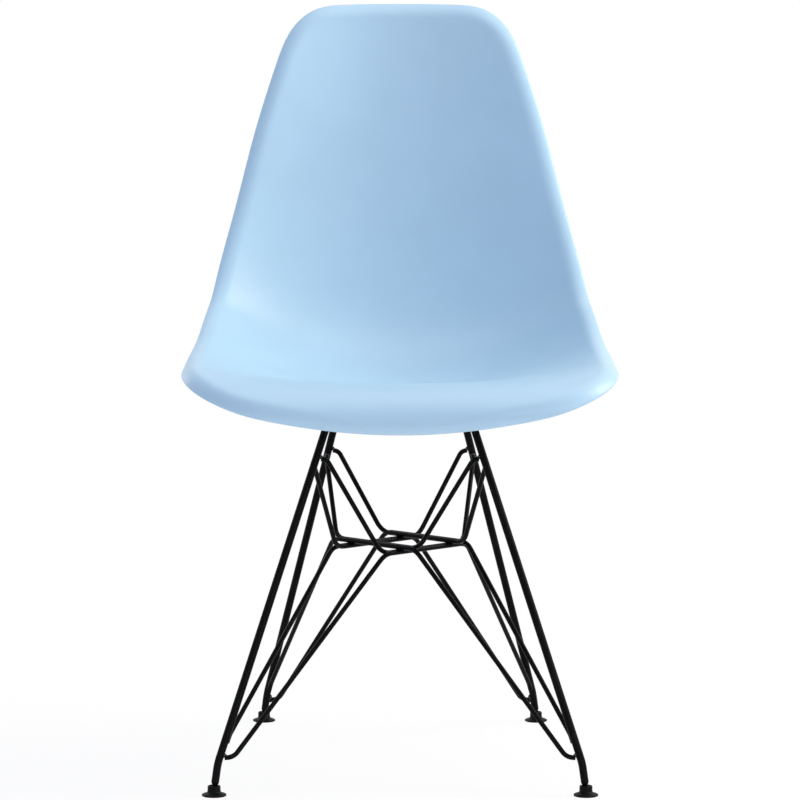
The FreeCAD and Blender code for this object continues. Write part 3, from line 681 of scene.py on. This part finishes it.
def shell_surface(settings):
    """The middle of the shell's wall: one net of faces, with the rings of its rim round it."""
    form = ShellForm()
    across, along = settings.across, settings.along
    places, inwards = form.spokes(across, along)
    rings = []
    for inset in RING_INSETS:
        chart = places + inwards * inset
        rings.append((chart, form.point(chart[:, 0], chart[:, 1], inset)))
    knee = rings[0][0]
    front = knee[: across + 1]
    right = knee[across : across + along + 1]
    back = knee[across + along : 2 * across + along + 1][::-1]
    left = np.vstack([knee[2 * across + along :], knee[:1]])[::-1]
    bm = bmesh.new()
    bmesh.ops.create_grid(bm, x_segments=across, y_segments=along, size=1.0)
    spoke = bm.verts.layers.int.new("spoke")
    for vert in bm.verts:
        column = round((vert.co.x + 1) / 2 * across)
        row = round((vert.co.y + 1) / 2 * along)
        u, v = column / across, row / along
        chart = (1 - v) * front[column] + v * back[column] + (1 - u) * left[row] + u * right[row]
        chart -= (1 - v) * ((1 - u) * front[0] + u * front[-1])
        chart -= v * ((1 - u) * back[0] + u * back[-1])
        vert.co = form.point(chart[0], chart[1], RING_INSETS[0])
        if row == 0:
            vert[spoke] = column
        elif column == across:
            vert[spoke] = across + row
        elif row == along:
            vert[spoke] = 2 * across + along - column
        elif column == 0:
            vert[spoke] = 2 * (across + along) - row
    edges = [edge for edge in bm.edges if edge.is_boundary]
    for _, ring in rings[1:]:
        made = bmesh.ops.extrude_edge_only(bm, edges=edges)["geom"]
        verts = [item for item in made if isinstance(item, bmesh.types.BMVert)]
        for vert in verts:
            vert.co = ring[vert[spoke]]
        fresh = set(verts)
        edges = [
            item
            for item in made
            if isinstance(item, bmesh.types.BMEdge) and fresh.issuperset(item.verts)
        ]
    bmesh.ops.recalc_face_normals(bm, faces=bm.faces[:])
    bm.faces.ensure_lookup_table()
    middle = bm.faces[(along // 2) * across + across // 2]
    if middle.normal.z < 0:
        bmesh.ops.reverse_faces(bm, faces=bm.faces[:])
    return bm


class CHAIR_OT_mould_seat(bpy.types.Operator):
    """Makes the one-piece seat and back with its rolled lip and flared rim"""

    bl_idname = "shell_chair.mould_seat"
    bl_label = "Mould the seat"

    def execute(self, context):
        settings = context.scene.shell_chair.shell
        bm = shell_surface(settings)
        seat = finish_mesh("moulded_seat", bm, moulded_plastic(settings))
        wall = seat.modifiers.new("wall", "SOLIDIFY")
        wall.thickness = WALL * MM
        wall.offset = 0.0
        wall.use_even_offset = True
        wall.use_quality_normals = True
        rim = seat.modifiers.new("rim", "BEVEL")
        rim.width = WALL / 2 * MM * RIM_ROUND
        rim.segments = RIM_STEPS
        rim.profile = 0.5
        rim.limit_method = "ANGLE"
        rim.angle_limit = RIM_ANGLE
        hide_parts("seat_shell")
        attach(seat, CHAIR)
        return {"FINISHED"}


class CHAIR_OT_mould_bosses(bpy.types.Operator):
    """Makes the four round bosses under the seat that take the brass inserts"""

    bl_idname = "shell_chair.mould_bosses"
    bl_label = "Mould the bosses"

    def execute(self, context):
        surface = shell_surface(context.scene.shell_chair.shell)
        tree = BVHTree.FromBMesh(surface)
        surface.free()
        bm = bmesh.new()
        for corner in CORNERS:
            low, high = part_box("rubber_pad_" + corner)
            foot = Vector(((low.x + high.x) / 2, (low.y + high.y) / 2, high.z))
            start = len(bm.verts)
            lathe(bm, BOSS_PROFILE, foot, BOSS_SIDES)
            bm.verts.ensure_lookup_table()
            for vert in bm.verts[start:]:
                self.follow_shell(vert, foot, tree)
        close_up(bm)
        bosses = finish_mesh("seat_bosses", bm, bpy.data.materials["moulded_plastic"])
        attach(bosses, CHAIR)
        return {"FINISHED"}

    def follow_shell(self, vert, foot, tree):
        """Lifts a point of a boss to the shell. The straight foot and the hole stay."""
        height = (vert.co.z - foot.z) / MM
        in_hole = (vert.co - foot).xy.length < HOLE_RADIUS * MM and height < HOLE_TOP
        if height >= BOSS_STRAIGHT and not in_hole:
            hit = tree.ray_cast(Vector((vert.co.x, vert.co.y, foot.z)), UP)[0]
            vert.co.z = hit.z - (BOSS_TOP - height) * MM * BOSS_SINK


# Rod base


def named_nodes(*starts):
    """The names of the CAD nodes that begin with one of these words, in order."""
    return [name for name in sorted(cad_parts) if name.startswith(starts)]


class CHAIR_OT_paint_rods(bpy.types.Operator):
    """Gives the hoops, braces, mounting plates and foot studs their powder coat"""

    bl_idname = "shell_chair.paint_rods"
    bl_label = "Paint the rods"

    def execute(self, context):
        names = named_nodes("side_hoop", "upper_brace", "lower_brace", "mount_plate", "foot_stud")
        paint_nodes(names, painted_rod(context.scene.shell_chair.rods))
        return {"FINISHED"}


class CHAIR_OT_fit_fasteners(bpy.types.Operator):
    """Gives the bolts, washers, inserts and rubber pads their finishes"""

    bl_idname = "shell_chair.fit_fasteners"
    bl_label = "Finish the fasteners"

    def execute(self, context):
        paint_nodes(named_nodes("washers", "spring_washers", "mounting_bolts"), zinc_steel())
        paint_nodes(["threaded_inserts"], insert_brass())
        paint_nodes(named_nodes("rubber_pad"), pad_rubber())
        return {"FINISHED"}


def near_points(first, second, reach):
    """The points of one CAD node that lie within reach of another."""
    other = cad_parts[second].data
    corners = [vert.co for vert in other.vertices]
    tree = BVHTree.FromPolygons(corners, [face.vertices[:] for face in other.polygons])
    found = []
    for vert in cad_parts[first].data.vertices:
        if tree.find_nearest(vert.co, reach)[0]:
            found.append(vert.co)
    return np.array(found).reshape(-1, 3)


def apart(points, gap):
    """Splits points into groups that lie more than a gap from each other."""
    groups = []
    for point in points:
        for group in groups:
            if np.linalg.norm(group[0] - point) < gap:
                group.append(point)
                break
        else:
            groups.append([point])
    return [np.array(group) for group in groups]


def add_bead(bm, group, half_width, seed):
    """A weld bead drawn out along a group of points, with the ripples of the weld pool."""
    centre = group.mean(axis=0)
    spread = group - centre
    along = np.array(UP)
    if len(group) > 2:
        along = np.linalg.svd(spread, full_matrices=False)[2][0]
    reach = float(np.abs(spread @ along).max()) + half_width * BEAD_OVERRUN
    half_length = max(half_width, min(BEAD_LIMIT, reach))
    turn = UP.rotation_difference(Vector(along)).to_matrix()
    made = bmesh.ops.create_icosphere(bm, subdivisions=3, radius=1.0)
    for vert in made["verts"]:
        x, y, z = vert.co
        lump = 1.0 + LUMP_DEPTH * noise.noise(vert.co * LUMP_SCALE + Vector((seed, 0, 0)))
        ripple = 1.0 + RIPPLE_DEPTH * math.cos(z * half_length / half_width * RIPPLE_RATE)
        wide = half_width * lump * ripple
        vert.co = Vector(centre) + turn @ Vector((x * wide, y * wide, z * half_length))


class CHAIR_OT_weld_rods(bpy.types.Operator):
    """Adds weld beads where the braces meet the hoops and each other"""

    bl_idname = "shell_chair.weld_rods"
    bl_label = "Weld the rods"

    def execute(self, context):
        settings = context.scene.shell_chair.rods
        hoops = named_nodes("side_hoop")
        braces = named_nodes("upper_brace", "lower_brace")
        pairs = [(brace, hoop) for brace in braces for hoop in hoops]
        pairs += [(one, two) for index, one in enumerate(braces) for two in braces[index + 1 :]]
        bm = bmesh.new()
        seed = 0.0
        for first, second in pairs:
            for group in apart(near_points(first, second, WELD_REACH), WELD_GAP):
                seed += BEAD_SEED_STEP
                add_bead(bm, group, settings.weld_size, seed)
        close_up(bm)
        beads = finish_mesh("brace_welds", bm, bpy.data.materials["painted_rod"])
        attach(beads, CHAIR)
        return {"FINISHED"}


# Floor glides


class CHAIR_OT_turn_glides(bpy.types.Operator):
    """Makes the four floor glides, each with its socket and collar"""

    bl_idname = "shell_chair.turn_glides"
    bl_label = "Turn the glides"

    def execute(self, context):
        material = glide_plastic()
        profile = list(GLIDE_PROFILE)
        for degrees in SOCKET_ANGLES:
            turn = math.radians(degrees)
            height = SOCKET_HEIGHT + SOCKET_RADIUS * math.sin(turn)
            profile.append((SOCKET_RADIUS * math.cos(turn), height))
        profile.append((0.0, SOCKET_HEIGHT - SOCKET_RADIUS))
        for corner in CORNERS:
            node = "glide_" + corner
            low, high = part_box(node)
            centre = Vector(((low.x + high.x) / 2, (low.y + high.y) / 2, low.z))
            bm = bmesh.new()
            lathe(bm, profile, centre, GLIDE_SIDES)
            close_up(bm)
            glide = finish_mesh("floor_" + node, bm, material)
            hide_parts(node)
            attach(glide, "floor_" + node)
        return {"FINISHED"}


# Stage


def add_lamp(name, place, size, power, colour):
    """A round lamp that looks at the middle of the chair."""
    data = bpy.data.lights.new(name, "AREA")
    data.shape = "DISK"
    data.size = size
    data.energy = power
    data.color = colour
    lamp = bpy.data.objects.new(name, data)
    bpy.context.scene.collection.objects.link(lamp)
    lamp.location = place
    lamp.rotation_euler = (LAMP_AIM - Vector(place)).to_track_quat("-Z", "Y").to_euler()


class CHAIR_OT_set_stage(bpy.types.Operator):
    """Sets the camera, the lights and the pale floor"""

    bl_idname = "shell_chair.set_stage"
    bl_label = "Set the stage"

    def execute(self, context):
        scene = context.scene
        settings = scene.shell_chair.studio
        scene.view_settings.view_transform = "Standard"
        data = bpy.data.cameras.new("view")
        data.lens = settings.lens
        data.sensor_width = SENSOR_WIDTH
        data.clip_end = VIEW_LIMIT
        camera = bpy.data.objects.new("view", data)
        scene.collection.objects.link(camera)
        camera.location = (0.0, -settings.distance, settings.height)
        camera.rotation_euler = (math.pi / 2 - settings.pitch, 0.0, 0.0)
        scene.camera = camera
        for name, (place, size, colour) in LAMPS.items():
            add_lamp(name, place, size, getattr(settings, name + "_power"), colour)
        self.light_world(scene, settings.ambient)
        self.lay_floor()
        return {"FINISHED"}

    def light_world(self, scene, ambient):
        """Lights the chair softly from all round and looks white behind it."""
        finish = Finish("studio", "worlds")
        scene.world = finish.owner
        kind = "ShaderNodeBackground"
        dim = finish.node(kind, {"Color": AMBIENT_COLOUR, "Strength": ambient})
        white = finish.node(kind, {"Color": WHITE, "Strength": 1.0})
        mixed = finish.node("ShaderNodeMixShader", {0: finish.seen(), 1: dim, 2: white})
        finish.node("ShaderNodeOutputWorld", {"Surface": mixed})

    def lay_floor(self):
        """Lays a floor that looks white and keeps a faint shadow under the chair."""
        finish = Finish("pale_floor")
        matt = finish.node("ShaderNodeBsdfDiffuse", {"Color": FLOOR_COLOUR})
        white = finish.node("ShaderNodeEmission", {"Color": WHITE, "Strength": 1.0})
        away = finish.node(
            "ShaderNodeVectorMath", {0: finish.place()}, output="Value", operation="LENGTH"
        )
        share = finish.spread(away, *FLOOR_FADE) * (1.0 - FLOOR_WHITE) + FLOOR_WHITE
        sockets = {0: finish.seen(), 1: share}
        share = finish.node("ShaderNodeMath", sockets, operation="MULTIPLY", use_clamp=True)
        mixed = finish.node("ShaderNodeMixShader", {0: share, 1: matt, 2: white})
        finish.node("ShaderNodeOutputMaterial", {"Surface": mixed})
        bm = bmesh.new()
        bmesh.ops.create_circle(bm, cap_ends=True, segments=FLOOR_SIDES, radius=FLOOR_RADIUS)
        floor = finish_mesh("pale_floor", bm, finish.owner, smooth=False)


class CHAIR_PT_panel(bpy.types.Panel):
    """Lists the steps that dress the chair"""

    bl_idname = "CHAIR_PT_panel"
    bl_label = "Shell chair"
    bl_space_type = "VIEW_3D"
    bl_region_type = "UI"
    bl_category = "Chair"

    def draw(self, context):
        layout = self.layout
        settings = context.scene.shell_chair
        for step in STEPS:
            layout.operator(step.bl_idname)
        for group in (settings.shell, settings.rods, settings.studio):
            box = layout.box()
            for name in group.bl_rna.properties.keys():
                if name not in {"rna_type", "name"}:
                    box.prop(group, name)


STEPS = (
    CHAIR_OT_set_stage,
    CHAIR_OT_mould_seat,
    CHAIR_OT_mould_bosses,
    CHAIR_OT_paint_rods,
    CHAIR_OT_weld_rods,
    CHAIR_OT_fit_fasteners,
    CHAIR_OT_turn_glides,
)
CLASSES = (ShellSettings, RodSettings, StudioSettings, ChairSettings, *STEPS, CHAIR_PT_panel)


def register():
    for item in CLASSES:
        bpy.utils.register_class(item)
    bpy.types.Scene.shell_chair = PointerProperty(type=ChairSettings)


def unregister():
    del bpy.types.Scene.shell_chair
    for item in reversed(CLASSES):
        bpy.utils.unregister_class(item)


def main():
    """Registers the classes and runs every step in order."""
    register()
    for step in STEPS:
        group, name = step.bl_idname.split(".")
        getattr(getattr(bpy.ops, group), name)()


if __name__ == "__main__":
    main()
